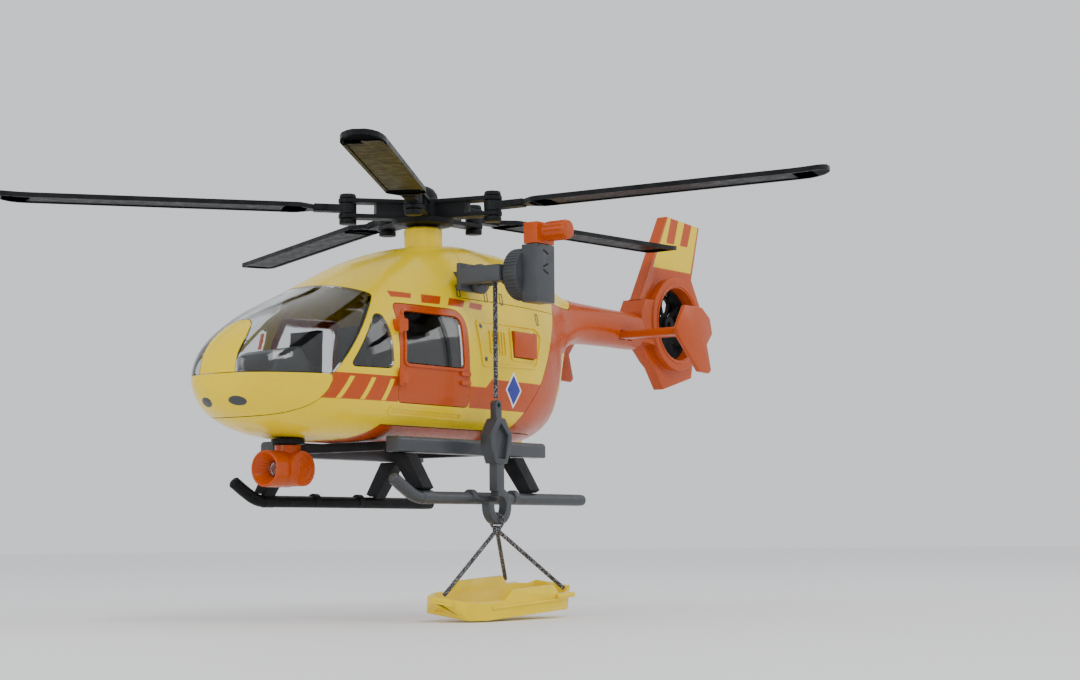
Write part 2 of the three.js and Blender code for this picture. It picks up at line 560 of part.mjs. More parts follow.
function addStretcher() {
  const { length, half, height, rim, z, wall: side } = tray;
  const { roll, pitch } = trayTilt;
  const end = length / 2;
  const plan = (d) => [
    [end - d, 0], [end - 3.4 - d, half - 4.4 - d * 0.6], [end - 12 - d * 0.4, half - d],
    [-end + 8 + d * 0.4, half - d], [-end + d, half * 0.62 - d * 0.4], [-end + d, -half * 0.62 + d * 0.4],
    [-end + 8 + d * 0.4, -half + d], [end - 12 - d * 0.4, -half + d], [end - 3.4 - d, -half + 4.4 + d * 0.6],
  ];
  const profile = [[end + 0.5, 7.6], [end - 5, 0], [-end + 3, 0], [-end - 0.5, 8.4], [-end + 3, rim],
    [-22, rim], [-18, height], [9, height], [13.5, rim], [end - 6, rim]];
  const body = planPrism(plan(0), -1, 14).intersect(sidePrism(profile, -30, 30));
  const inside = planPrism(plan(side), side, 20);
  const lugs = [box(end - 4.5, end - 0.5, -5, 5, 5, 6.6), box(-31, -20, half - 1, half + 1.4, 5, 6.6),
    box(-31, -20, -half - 1.4, -half + 1, 5, 6.6)];
  const place = (b) => b.rotate([roll, pitch, 0]).translate([lineX, lineY, z]);
  add("stretcher", largest(place(join(cut(body, inside), ...lugs))), yellow);

  const turn = new THREE.Matrix4().makeRotationFromEuler(new THREE.Euler(rad(roll), rad(pitch), 0, "ZYX"));
  const matrix = turn.premultiply(new THREE.Matrix4().makeTranslation(lineX, lineY, z));
  const knot = V(lineX, lineY, slingZ - 4.6);
  const ends = cleats.map(([x, y]) => V(x, y, rim + 2).applyMatrix4(matrix));
  const legs = ends.map((to) => tubeAlong([knot, to], 0.85, 8, 1));
  const tie = rod(V(lineX, lineY, slingZ - 6), V(lineX, lineY, slingZ - 3.4), 1.6, 12);
  add("slings", join(tie, ...legs), black, 0.85);
}

function addInterior() {
  const floor = planPrism([[2.6, -28], [66, -29], [82, -22], [82, 22], [66, 29], [2.6, 28]], 36.2, 37.8);
  const bulkhead = frontPrism([[-29, 38], [-29, 62], [-20, 84], [20, 84], [29, 62], [29, 38]], 4.4, 6);
  const jamb = box(4.4, 6, -26, 26, 36.5, 39);
  add("cabin_floor", join(floor, bulkhead, jamb), black, 0.6);
  const seat = (x, y, back) =>
    join(box(x, x + 13, y - 7.5, y + 7.5, 38.1, 46), box(x - 2.5, x + 1, y - 7, y + 7, 38.1, back));
  const seats = [seat(57, 12, 68), seat(57, -12, 68), seat(12, 12, 48), seat(12, -12, 48), seat(32, 12, 48),
    seat(32, -12, 48)];
  add("seat_unit", join(box(9.6, 74, -5, 5, 38.1, 40), ...seats), black, 0.6);
  const panel = sidePrism([[86, 38.1], [84, 52], [90, 58], [100, 55.5], [105, 48.4], [96, 38.1]], -15, 15);
  add("instrument_panel", panel, darkGrey, 0.5);
  const boxBody = cut(box(-38, 2, -15.5, 15.5, 26.4, 40), box(-35, -1, -13.6, 13.6, 20, 38.6));
  add("battery_box", cut(boxBody, across(bellyTray).subtract(hollow)), black, 0.5);
  add("button_cells", rod(V(-28, 0, 32), V(-8, 0, 32), 5.8, 24), 0xb9bcc0, 0.3, 0.9);
  add("circuit_board", box(-40, -9, 20, 21.4, 44, 78), 0x1f6b3a, 0.5);
  add("speaker", rod(V(-1.5, 21.8, 58), V(-1.5, 28.6, 58), 5.4, 24), black, 0.6);
  const middle = { x: (button.x0 + button.x1) / 2, z: (button.z0 + button.z1) / 2 };
  const press = join(
    box(button.x0, button.x1, 28, 34.8, button.z0, button.z1),
    box(button.x0 - 1.6, button.x1 + 1.6, 26.8, 28.6, button.z0 - 1.6, button.z1 + 1.6),
    rod(V(middle.x, 23.2, middle.z), V(middle.x, 27, middle.z), 1.2, 10),
  );
  add("light_button", press, orange);
  const coil = [];
  for (let i = 0; i <= 24; i++) {
    const a = (2 * Math.PI * i) / 8;
    coil.push(V(middle.x + 2.4 * Math.cos(a), 23 + (3.2 * i) / 24, middle.z + 2.4 * Math.sin(a)));
  }
  add("button_spring", tubeAlong(coil, 0.35, 5, 36), 0xb9bcc0, 0.3, 0.9);
}

addFuselage();
addDoors();
addTail();
addRotor();
addLandingGear();
addSearchlight();
addWinch();
addHookAndLine();
addStretcher();
addInterior();

model.position.set(-mastX, 0, -gripHeight);
export default model;
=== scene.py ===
# Finished looks of the rescue helicopter scale model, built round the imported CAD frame.
# Shapes are drawn in millimetres in the CAD drawing's frame: X to the nose, Y to port, and Z above
# the underside of the skids. at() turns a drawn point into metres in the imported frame. The camera,
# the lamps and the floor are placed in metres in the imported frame.
import json
import math
import bpy
import bmesh
import numpy as np
from mathutils import Matrix, Vector

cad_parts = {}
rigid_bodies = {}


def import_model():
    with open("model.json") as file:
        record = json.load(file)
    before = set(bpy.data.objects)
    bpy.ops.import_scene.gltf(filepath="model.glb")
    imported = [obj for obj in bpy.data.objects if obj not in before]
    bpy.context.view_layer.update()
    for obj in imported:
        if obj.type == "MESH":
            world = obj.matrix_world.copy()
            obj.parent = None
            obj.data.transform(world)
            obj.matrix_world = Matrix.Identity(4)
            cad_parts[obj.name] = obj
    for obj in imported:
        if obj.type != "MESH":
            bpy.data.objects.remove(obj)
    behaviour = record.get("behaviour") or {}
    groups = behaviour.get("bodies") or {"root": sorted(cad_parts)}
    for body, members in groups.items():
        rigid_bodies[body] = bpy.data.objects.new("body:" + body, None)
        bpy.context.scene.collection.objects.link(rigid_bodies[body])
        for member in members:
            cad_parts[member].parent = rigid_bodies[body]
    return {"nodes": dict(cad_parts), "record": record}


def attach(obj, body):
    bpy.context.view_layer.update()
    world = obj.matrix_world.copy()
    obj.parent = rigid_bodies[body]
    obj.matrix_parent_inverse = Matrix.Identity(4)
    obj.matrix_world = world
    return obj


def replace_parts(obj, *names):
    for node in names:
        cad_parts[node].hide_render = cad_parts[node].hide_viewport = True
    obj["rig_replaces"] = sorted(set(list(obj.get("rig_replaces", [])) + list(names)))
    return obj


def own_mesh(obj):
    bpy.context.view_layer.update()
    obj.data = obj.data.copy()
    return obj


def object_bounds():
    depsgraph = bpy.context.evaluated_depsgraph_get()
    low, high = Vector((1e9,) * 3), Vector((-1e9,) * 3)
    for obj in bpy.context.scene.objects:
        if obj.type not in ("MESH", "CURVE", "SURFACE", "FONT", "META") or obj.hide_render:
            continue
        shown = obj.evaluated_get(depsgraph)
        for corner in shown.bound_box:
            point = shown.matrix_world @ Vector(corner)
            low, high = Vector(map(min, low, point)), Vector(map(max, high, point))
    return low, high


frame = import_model()
cad_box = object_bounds()

MAST_X = -2.0  # the rotor mast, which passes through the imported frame's origin
GRIP = 65.0  # height of that origin above the skids
GAP = 0.3  # seam between neighbouring pieces
WALL = 1.6  # wall of the moulded shells
FAR = 60.0  # further out than the body's widest line
HALVES = (("port", 1), ("starboard", -1))
NOSEWARD = Vector((1, 0, 0))
PORT = Vector((0, 1, 0))
SKYWARD = Vector((0, 0, 1))


def at(x, y, z):
    """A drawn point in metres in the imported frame."""
    return Vector(((x - MAST_X) / 1000, y / 1000, (z - GRIP) / 1000))


# ---- camera -----------------------------------------------------------------------------------

LENS_MM = 69.73
SENSOR_MM = 36
CAMERA_PLACE = (0.6694, 0.5347, -0.0801)
FORWARD = Vector((-0.8112, -0.5768, 0.0962)).normalized()
VIEW_ROLL = math.radians(-0.52)

camera = bpy.data.objects.new("camera", bpy.data.cameras.new("camera"))
bpy.context.scene.collection.objects.link(camera)
bpy.context.scene.camera = camera
camera.data.lens = LENS_MM
camera.data.sensor_width = SENSOR_MM
camera.data.clip_start = 0.01
level = FORWARD.cross(SKYWARD).normalized()
upright = level.cross(FORWARD)
right = level * math.cos(VIEW_ROLL) + upright * math.sin(VIEW_ROLL)
up = upright * math.cos(VIEW_ROLL) - level * math.sin(VIEW_ROLL)
turn = Matrix((right, up, -FORWARD)).transposed()
camera.matrix_world = Matrix.Translation(CAMERA_PLACE) @ turn.to_4x4()

# ---- materials --------------------------------------------------------------------------------

YELLOW = (0.86, 0.61, 0.0)
ORANGE = (0.47, 0.062, 0.001)
DARK_GREY = (0.045, 0.050, 0.056)
BLACK = (0.008, 0.009, 0.010)
WHITE = (0.85, 0.85, 0.85)
BLUE = (0.02, 0.03, 0.30)
GREEN = (0.01, 0.12, 0.04)
STEEL = (0.55, 0.56, 0.58)


class Finish:
    """A procedural material with a few shorthands for its nodes."""

    def __init__(self, name):
        self.material = bpy.data.materials.new(name)
        self.material.use_nodes = True
        self.tree = self.material.node_tree
        self.shader = self.tree.nodes["Principled BSDF"]
        self.place = self.make("ShaderNodeTexCoord").outputs["Object"]

    def make(self, kind, inputs=(), **settings):
        """A new node, with a value or a link for each of its inputs."""
        node = self.tree.nodes.new(kind)
        for key, value in settings.items():
            setattr(node, key, value)
        for key, value in dict(inputs).items():
            if isinstance(value, bpy.types.NodeSocket):
                self.tree.links.new(value, node.inputs[key])
            else:
                node.inputs[key].default_value = value
        return node

    def noise(self, scale, detail=3.0, stretch=(1, 1, 1)):
        """Noise fixed to the object, with scale in cycles per metre."""
        spread = self.make("ShaderNodeMapping", {0: self.place, 3: stretch}).outputs[0]
        made = self.make("ShaderNodeTexNoise", {"Vector": spread, "Scale": scale, "Detail": detail})
        return made.outputs[0]

    def span(self, value, low, high, to_low, to_high):
        """A value between low and high, spread from to_low to to_high."""
        made = self.make("ShaderNodeMapRange", {0: value, 1: low, 2: high, 3: to_low, 4: to_high})
        return made.outputs[0]

    def times(self, a, b):
        return self.make("ShaderNodeMath", {0: a, 1: b}, operation="MULTIPLY").outputs[0]

    def mix(self, share, a, b):
        as_colour = lambda c: c if isinstance(c, bpy.types.NodeSocket) else (*c, 1)
        inputs = {0: share, 6: as_colour(a), 7: as_colour(b)}
        return self.make("ShaderNodeMix", inputs, data_type="RGBA").outputs[2]

    def inside(self, corners):
        """1 inside a convex outline in the side view, from corners [x, z] in millimetres."""
        points = [at(x, 0, z) for x, z in corners]
        area = sum(p.x * q.z - p.z * q.x for p, q in zip(points, points[1:] + points[:1]))
        sign = 1 if area > 0 else -1
        result = None
        for p, q in zip(points, points[1:] + points[:1]):
            normal = Vector((-(q.z - p.z), 0, q.x - p.x)).normalized() * sign
            dot = self.make("ShaderNodeVectorMath", {0: self.place, 1: normal}, operation="DOT_PRODUCT")
            test = {0: dot.outputs["Value"], 1: normal.dot(p)}
            over = self.make("ShaderNodeMath", test, operation="GREATER_THAN").outputs[0]
            result = over if result is None else self.times(result, over)
        return result

    def outward_side(self):
        """1 on faces that look away from the middle plane, so that nothing is printed inside."""
        coordinates = self.make("ShaderNodeTexCoord")
        parts = [self.make("ShaderNodeSeparateXYZ", {0: coordinates.outputs[k]}).outputs[1]
                 for k in ("Object", "Normal")]
        test = {0: self.times(*parts), 1: 0.0}
        return self.make("ShaderNodeMath", test, operation="GREATER_THAN").outputs[0]

    def link(self, value, socket):
        self.tree.links.new(value, self.shader.inputs[socket])


def moulded(name, colour, rough=0.28, grain=0.05, coat=0.0, marks=(), gloss=0.5):
    """Injection-moulded plastic: slight flow marks, fine skin texture, painted highlights on convex edges and
    printed marks.
    """
    made = Finish(name)
    tint = made.noise(38, 4)
    outside = made.outward_side() if marks else None
    darker, lighter = [c * 0.95 for c in colour], [min(1, c * 1.04) for c in colour]
    base = made.mix(made.span(tint, 0.3, 0.7, 0, 1), darker, lighter)
    for corners, mark in marks:
        base = made.mix(made.times(made.inside(corners), outside), base, mark)
    # Painted highlight: convex edges, found by pointiness and broken up by noise, are lightened to a brighter
    # tone of the colour, in place of the light that rounded edges would catch.
    convexity = made.make("ShaderNodeNewGeometry").outputs["Pointiness"]
    painted_edge_highlight = made.times(made.span(convexity, 0.53, 0.62, 0, 0.35), made.span(made.noise(150), 0.4, 0.6, 0.2, 1))
    pale = [min(1, c * 1.25 + 0.02) for c in colour]
    made.link(made.mix(painted_edge_highlight, base, pale), "Base Color")
    made.link(made.span(made.noise(260, 5), 0.3, 0.7, rough * 0.82, rough * 1.25), "Roughness")
    made.shader.inputs["IOR"].default_value = 1.5
    made.shader.inputs["Specular IOR Level"].default_value = gloss
    made.shader.inputs["Coat Weight"].default_value = coat
    made.shader.inputs["Coat Roughness"].default_value = 0.08
    skin_bump = {"Height": made.noise(1500, 4), "Strength": grain, "Distance": 0.0002}
    made.link(made.make("ShaderNodeBump", skin_bump).outputs[0], "Normal")
    return made.material


def clear_sheet(name, colour, rough=0.03):
    """Clear moulded plastic with a faint ripple and uneven polish."""
    made = Finish(name)
    made.shader.inputs["Base Color"].default_value = (*colour, 1)
    made.shader.inputs["Transmission Weight"].default_value = 1.0
    made.shader.inputs["IOR"].default_value = 1.42
    made.link(made.span(made.noise(90, 4), 0.35, 0.75, rough * 0.6, rough * 2), "Roughness")
    ripple = {"Height": made.noise(60, 2), "Strength": 0.03, "Distance": 0.0005}
    made.link(made.make("ShaderNodeBump", ripple).outputs[0], "Normal")
    return made.material


def steel_finish(name):
    """Steel with fine bands across Z."""
    made = Finish(name)
    made.link(made.mix(made.noise(700, 3, (1, 1, 12)), [c * 0.8 for c in STEEL], STEEL), "Base Color")
    made.shader.inputs["Metallic"].default_value = 1.0
    made.link(made.span(made.noise(500, 4, (1, 1, 10)), 0.3, 0.7, 0.22, 0.38), "Roughness")
    return made.material


def cord_finish(name):
    """Black braid with pale flecks."""
    made = Finish(name)
    strands = made.noise(1500, 2)
    flecks = made.span(strands, 0.52, 0.6, 0, 1)
    made.link(made.mix(flecks, (0.008, 0.008, 0.009), (0.22, 0.22, 0.23)), "Base Color")
    made.shader.inputs["Roughness"].default_value = 0.75
    made.shader.inputs["Sheen Weight"].default_value = 0.3
    fibre = {"Height": strands, "Strength": 0.5, "Distance": 0.0002}
    made.link(made.make("ShaderNodeBump", fibre).outputs[0], "Normal")
    return made.material


# Printed marks in the side view: the slanted bars, the waist band and the blocks over the doors.
BAR_HALF = 1.15
BAR_LOW, BAR_HIGH = 38.3, 46.6


def slanted(x_low, x_high):
    return [[x_low - BAR_HALF, BAR_LOW], [x_low + BAR_HALF, BAR_LOW],
            [x_high + BAR_HALF, BAR_HIGH], [x_high - BAR_HALF, BAR_HIGH]]


ORANGE_MARKS = [
    [[90.8, 47.7], [98.5, 38.1], [56, 38.1], [56, 47.7]],
    [[12, 46.5], [1.4, 46.5], [1.4, 37.9], [12, 37.9]],
    [[1.5, 46.5], [-2.6, 50], [-46, 50], [-31, 37.9], [1.5, 37.9]],
    [[52.4, 81.5], [52.4, 79], [42.5, 79.1], [40.9, 81.2]],
    [[37.2, 77.8], [35.8, 81.3], [24.5, 81.4], [26.7, 78]],
    [[21.8, 78], [19.6, 81.3], [10.1, 81], [12.4, 77.9]],
    [[8.7, 78], [6.9, 80.6], [-1, 80.2], [0.7, 77.7]],
]
YELLOW_BARS = [slanted(86.4, 80.8), slanted(75.2, 70), slanted(64.2, 59.6)]
DIAMOND = [[-18, 54], [-12.2, 46.5], [-18, 39], [-23.8, 46.5]]
SMALL_DIAMOND = [[-18, 52.6], [-13.2, 46.5], [-18, 40.4], [-22.8, 46.5]]
BODY_MARKS = (
    [(corners, ORANGE) for corners in ORANGE_MARKS]
    + [(corners, YELLOW) for corners in YELLOW_BARS]
    + [(DIAMOND, WHITE), (SMALL_DIAMOND, BLUE)]
)
FIN_PANEL = [[-174.6, 115.8], [-209, 115.8], [-216.4, 138.9], [-215.4, 140.6], [-189.4, 142.4]]
FIN_BLOCKS = [
    [[-187, 128.6], [-194, 128.6], [-199.5, 144], [-192.5, 144]],
    [[-199.5, 128.6], [-206.4, 128.6], [-212.4, 144], [-205.4, 144]],
]
FIN_MARKS = [(FIN_PANEL, YELLOW)] + [(corners, ORANGE) for corners in FIN_BLOCKS]

MATERIALS = {
    "yellow_plastic": moulded("yellow_plastic", YELLOW, 0.24, coat=0.06, gloss=0.3),
    "yellow_body": moulded("yellow_body", YELLOW, 0.24, coat=0.06, marks=BODY_MARKS, gloss=0.3),
    "orange_plastic": moulded("orange_plastic", ORANGE, 0.27, coat=0.05, gloss=0.3),
    "orange_fin": moulded("orange_fin", ORANGE, 0.27, coat=0.05, marks=FIN_MARKS, gloss=0.3),
    "dark_grey_plastic": moulded("dark_grey_plastic", DARK_GREY, 0.36, 0.12, gloss=0.4),
    "black_plastic": moulded("black_plastic", BLACK, 0.45, 0.03, gloss=0.12),
    "clear_plastic": clear_sheet("clear_plastic", (0.86, 0.88, 0.89)),
    "blue_lens": clear_sheet("blue_lens", (0.05, 0.16, 0.6), 0.06),
    "steel": steel_finish("steel"),
    "circuit_green": moulded("circuit_green", GREEN, 0.4),
    "cord_black": cord_finish("cord_black"),
}

# ---- mesh work --------------------------------------------------------------------------------

def mesh_object(name, vertices, faces):
    mesh = bpy.data.meshes.new(name)
    mesh.from_pydata([tuple(v) for v in vertices], [], faces)
    mesh.update()
    made = bpy.data.objects.new(name, mesh)
    bpy.context.scene.collection.objects.link(made)
    return made


def outward(made):
    """Faces turned to point out of a closed mesh."""
    bm = bmesh.new()
    bm.from_mesh(made.data)
    bmesh.ops.recalc_face_normals(bm, faces=bm.faces)
    bm.to_mesh(made.data)
    bm.free()
    return made


def drop(*objects):
    for o in objects:
        bpy.data.objects.remove(o)


def combined(name, parts):
    """One object with the meshes of several, which are removed."""
    bm = bmesh.new()
    for part in parts:
        bm.from_mesh(part.data)
    mesh = bpy.data.meshes.new(name)
    bm.to_mesh(mesh)
    bm.free()
    drop(*parts)
    made = bpy.data.objects.new(name, mesh)
    bpy.context.scene.collection.objects.link(made)
    return made


def boolean(operation, target, tool, keep_tool=False, keep_target=True):
    """A new object: target with tool cut off or kept in common. The tool is removed unless kept."""
    made = bpy.data.objects.new(target.name, target.data.copy())
    bpy.context.scene.collection.objects.link(made)
    modifier = made.modifiers.new("cut", "BOOLEAN")
    modifier.operation = operation
    modifier.solver = "MANIFOLD"
    modifier.object = tool
    graph = bpy.context.evaluated_depsgraph_get()
    result = bpy.data.meshes.new_from_object(made.evaluated_get(graph))
    made.modifiers.clear()
    made.data = result
    if not keep_tool:
        drop(tool)
    if not keep_target:
        drop(target)
    return made


def smoothed(made, angle):
    """Smooth shading, with edges sharper than angle left crisp."""
    for polygon in made.data.polygons:
        polygon.use_smooth = True
    made.data.set_sharp_from_angle(angle=math.radians(angle))
    return made


def largest(made):
    """Only the largest connected piece is kept."""
    bm = bmesh.new()
    bm.from_mesh(made.data)
    bmesh.ops.remove_doubles(bm, verts=bm.verts, dist=1e-6)
    left = set(bm.verts)
    best = []
    while left:
        seed = left.pop()
        group = [seed]
        for v in group:
            for e in v.link_edges:
                w = e.other_vert(v)
                if w in left:
                    left.discard(w)
                    group.append(w)
        if len(group) > len(best):
            best = group
    chosen = set(best)
    bmesh.ops.delete(bm, geom=[v for v in bm.verts if v not in chosen], context="VERTS")
    bm.to_mesh(made.data)
    bm.free()
    return made


def prism(name, corners, place, low, high):
    """A closed prism: place(u, v, t) puts outline corner [u, v] at depth t."""
    n = len(corners)
    points = [place(u, v, low) for u, v in corners] + [place(u, v, high) for u, v in corners]
    faces = [tuple(range(n))[::-1], tuple(range(n, 2 * n))]
    faces += [(i, (i + 1) % n, n + (i + 1) % n, n + i) for i in range(n)]
    return outward(mesh_object(name, points, faces))


def side(corners, y0=-FAR, y1=FAR):
    """A prism across the body, from an outline [x, z]."""
    return prism("side", corners, lambda x, z, y: at(x, y, z), y0, y1)


def plan(corners, z0, z1, name="plan"):
    """An upright prism, from an outline [x, y]."""
    return prism(name, corners, lambda x, y, z: at(x, y, z), z0, z1)


def box(x0, x1, y0, y1, z0, z1, name="box"):
    return plan([[x0, y0], [x1, y0], [x1, y1], [x0, y1]], z0, z1, name)


def ellipse(x, y, reach_x, reach_y, count):
    turns = np.linspace(0, 2 * math.pi, count + 1)[:-1]
    return [[x + reach_x * math.cos(a), y + reach_y * math.sin(a)] for a in turns]


def flank(sign, near, far=FAR):
    """The stretch of Y from near to far on one side of the middle plane."""
    return sorted((near * sign, far * sign))


def walls(rings, sides):
    """The faces that join rings of vertices, one after another."""
    faces = []
    for r in range(rings - 1):
        for k in range(sides):
            a, b = r * sides + k, r * sides + (k + 1) % sides
            faces.append((a, b, b + sides, a + sides))
    return faces


def capped(rings, sides):
    """The walls with a face over the first ring and the last."""
    first, last = tuple(range(sides)), tuple(range((rings - 1) * sides, rings * sides))
    return [*walls(rings, sides), first[::-1], last]


def turned(name, profile, start, end, sides=48):
    """A body of revolution about start-end, from [distance along, radius] points."""
    axis = (end - start).normalized()
    across = axis.orthogonal().normalized()
    other = axis.cross(across)
    points = []
    for along, radius in profile:
        for k in range(sides):
            a = 2 * math.pi * k / sides
            spoke = across * math.cos(a) + other * math.sin(a)
            points.append(start + axis * along / 1000 + spoke * radius / 1000)
    return outward(mesh_object(name, points, capped(len(profile), sides)))


def torus(name, middle, axis, radius, thickness, sides):
    """A ring round axis; thickness is the radius of its section."""
    across = axis.orthogonal().normalized()
    other = axis.cross(across)
    points, faces = [], []
    around = 8
    for i in range(sides):
        a = 2 * math.pi * i / sides
        spoke = across * math.cos(a) + other * math.sin(a)
        for j in range(around):
            b = 2 * math.pi * j / around
            reach = (radius + thickness * math.cos(b)) / 1000
            points.append(middle + spoke * reach + axis * thickness * math.sin(b) / 1000)
    for i in range(sides):
        for j in range(around):
            p, q = (i + 1) % sides, (j + 1) % around
            faces.append((i * around + j, p * around + j, p * around + q, i * around + q))
    return outward(mesh_object(name, points, faces))


def grown(corners, d):
    """An outline moved outwards by d."""
    count = len(corners)
    pairs = [(corners[i], corners[(i + 1) % count]) for i in range(count)]
    area = sum(p[0] * q[1] - p[1] * q[0] for p, q in pairs)
    sign = 1 if area > 0 else -1
    normals = []
    for p, q in pairs:
        length = math.hypot(q[0] - p[0], q[1] - p[1])
        normals.append((sign * (q[1] - p[1]) / length, -sign * (q[0] - p[0]) / length))
    moved = []
    for i, p in enumerate(corners):
        m, n = normals[i - 1], normals[i]
        k = d / (1 + m[0] * n[0] + m[1] * n[1])
        moved.append([p[0] + k * (m[0] + n[0]), p[1] + k * (m[1] + n[1])])
    return moved


def rounded(corners, radius, steps=7):
    """An outline with its corners rounded, all by one radius or by one each."""
    made = []
    count = len(corners)
    for i, p in enumerate(corners):
        r = radius[i] if isinstance(radius, list) else radius
        corner = Vector(p)
        a, b = Vector(corners[i - 1]) - corner, Vector(corners[(i + 1) % count]) - corner
        r = min(r, a.length * 0.45, b.length * 0.45)
        start, end = corner + a.normalized() * r, corner + b.normalized() * r
        for k in range(steps + 1):
            t = k / steps
            q = (1 - t) ** 2 * start + 2 * t * (1 - t) * corner + t * t * end
            made.append([q.x, q.y])
    return made


# ---- the fuselage surface ---------------------------------------------------------------------

# x, top, bottom, half width, height of the widest line, squareness above and below it
STATIONS = np.array([
    [118.6, 48.8, 44.4, 2.6, 46.5, 2.0, 2.0], [118, 53, 39.4, 9, 46.5, 2, 2],
    [115, 58.6, 34.8, 15.6, 46.5, 2, 2], [110, 63.6, 31.4, 20.9, 46.6, 2, 2.1],
    [103, 68.4, 28.6, 25.8, 46.8, 2, 2.3], [94, 73.2, 26.5, 29.8, 47.2, 2.1, 2.5],
    [82, 78.4, 25, 32.6, 47.8, 2.2, 2.8], [70, 83.2, 24.3, 34, 48.5, 2.3, 3],
    [57, 89.2, 24.2, 34.6, 49.2, 2.4, 3.2], [43, 95.6, 24.2, 34.8, 49.5, 2.4, 3.2],
    [22, 102.4, 24.2, 34.8, 49.5, 2.4, 3.2], [0, 106.6, 24.2, 34.6, 49.5, 2.4, 3.2],
    [-16, 107.9, 24.2, 34.2, 49.5, 2.4, 3.2], [-32, 107.6, 24.3, 33, 49.6, 2.3, 3],
    [-47, 106.8, 25.9, 30.4, 51, 2.3, 2.7], [-60, 105.4, 29, 26.4, 54, 2.3, 2.5],
    [-68, 103.8, 34.6, 22.8, 58, 2.2, 2.3], [-75, 101.7, 45, 18.8, 64, 2.2, 2.2],
    [-81, 99.4, 56, 15.6, 69, 2.2, 2.2], [-88, 96.6, 65, 12.8, 74.5, 2.2, 2.2],
    [-96, 94.2, 70, 11, 79, 2.2, 2.2], [-107, 93, 73.6, 9.6, 82, 2.3, 2.2],
    [-120, 92.6, 74.6, 8.8, 83, 2.4, 2.2], [-140, 92.2, 74.8, 8.5, 83.2, 2.4, 2.2],
    [-160, 91.8, 74.8, 8.2, 83.2, 2.4, 2.2],
])
AROUND = 88


def smooth_stations():
    """The stations with more between them, on monotone cubic curves."""
    x = -STATIONS[:, 0]
    rows = STATIONS[:, 1:]
    step = np.diff(x)[:, None]
    slope = np.diff(rows, axis=0) / step
    same = slope[:-1] * slope[1:] > 0
    weight = (2 * step[1:] + step[:-1], step[1:] + 2 * step[:-1])
    with np.errstate(divide="ignore", invalid="ignore"):
        inner = (weight[0] + weight[1]) / (weight[0] / slope[:-1] + weight[1] / slope[1:])
    inner = np.where(same, inner, 0)
    tangent = np.vstack([slope[:1], inner, slope[-1:]])
    made = []
    for i in range(len(x) - 1):
        parts = max(2, math.ceil(step[i, 0] / 2.4))
        for k in range(parts):
            t = k / parts
            h = step[i, 0]
            row = ((1 + 2 * t) * (1 - t) ** 2 * rows[i] + t * (1 - t) ** 2 * h * tangent[i]
                   + t * t * (3 - 2 * t) * rows[i + 1] + t * t * (t - 1) * h * tangent[i + 1])
            made.append((-(x[i] + t * h), *row))
    made.append((-x[-1], *rows[-1]))
    return made


FINE = smooth_stations()


def power(v, n):
    """A sine or cosine, with its sign, raised for a superellipse of squareness n."""
    return math.copysign(abs(v) ** (2 / n), v)


def loft(inset, front=200.0, shift=0.0):
    """The closed fuselage surface moved inwards by inset, from the first station not past front.

    That first station moves back by shift.
    """
    points, rings = [], 0
    for x, top, bottom, half, waist, upper, lower in FINE:
        if x > front:
            continue
        x = x - shift if rings == 0 else x
        rings += 1
        for i in range(AROUND):
            a = 2 * math.pi * i / AROUND
            s = math.sin(a)
            rise = top - inset - waist if s >= 0 else waist - bottom - inset
            n = upper if s >= 0 else lower
            points.append(at(x, (half - inset) * power(math.cos(a), n), waist + rise * power(s, n)))
    faces = walls(rings, AROUND)
    faces.append(tuple(range(AROUND)))
    faces.append(tuple(range((rings - 1) * AROUND, rings * AROUND))[::-1])
    return outward(mesh_object("loft", points, faces))


INSIDE_FRONT = 118.2
RAISED, PRINTED = 0.55, 0.14  # how proud moulded details and fine lines stand
ROOTED = 0.5  # how deep both reach into the wall

outer = loft(0)
hollow = loft(WALL, INSIDE_FRONT, WALL * 0.6)
shell = boolean("DIFFERENCE", outer, hollow, keep_tool=True)
raised = boolean("DIFFERENCE", loft(-RAISED), loft(ROOTED, INSIDE_FRONT, 0.4), keep_target=False)
line_skin = boolean("DIFFERENCE", loft(-PRINTED), loft(ROOTED, INSIDE_FRONT, 0.4), keep_target=False)

GLAZING = [[135, 47.2], [89.5, 47.2], [60, 79.5], [72, 84.5], [78, 115], [135, 115]]
NOSE_CAP = [[135, 46.9], [89.5, 46.9], [91, 41.5], [95.5, 36], [103, 32.4], [112, 31.2], [135, 32.4]]
BELLY = [[74, 10], [60, 29.5], [-44, 29.5], [-44, 10]]
REAR_QUARTER = [[-19.5, 29.8], [-41.5, 51.5], [-66, 87.3], [-93, 87.3], [-99, 92], [-104, 110],
                [-175, 110], [-175, 60], [-120, 10], [-44.3, 10], [-44.3, 29.8]]
REAR_DOOR = [[-59.5, 10], [-59.5, 46], [-73.5, 66.8], [-100, 66.8], [-110, 60], [-110, 10]]
COWL = [[15, 82], [6, 92], [-2.6, 103], [-2.6, 115], [-98.5, 115], [-98.5, 92.3], [-92.8, 87.6],
        [-66.2, 87.6], [-62, 82]]
DOORWAY = rounded([[12.2, 38.1], [56.4, 38.1], [53.6, 76.4], [12.2, 76.4]], [3, 3, 3, 9])
PILOT_WINDOW = rounded([[81.6, 50.4], [59, 50.8], [59, 64], [61.2, 71.2], [64.4, 71.2]], [3, 3, 6, 2, 2])
DOOR_GLASS = rounded([[16.6, 53.4], [51.8, 53.4], [49.4, 73.2], [16.6, 73.2]], [1.5, 1.5, 1.5, 4])
BRIDGE = [[130, -9], [130, 9], [112, 8.4], [106.5, 6], [104, 2.5], [104, -2.5], [106.5, -6], [112, -8.4]]
FILLET = {"glazing": rounded(GLAZING, 1.6), "nose": rounded(NOSE_CAP, [1, 3, 3, 6, 6, 6, 1])}


def common(skin_layer, corners, y0=-FAR, y1=FAR):
    """The part of a layer of the fuselage inside an outline in the side view."""
    return boolean("INTERSECT", skin_layer, side(corners, y0, y1))


def cut(target, *tools):
    for tool in tools:
        target = boolean("DIFFERENCE", target, tool, keep_target=False)
    return target


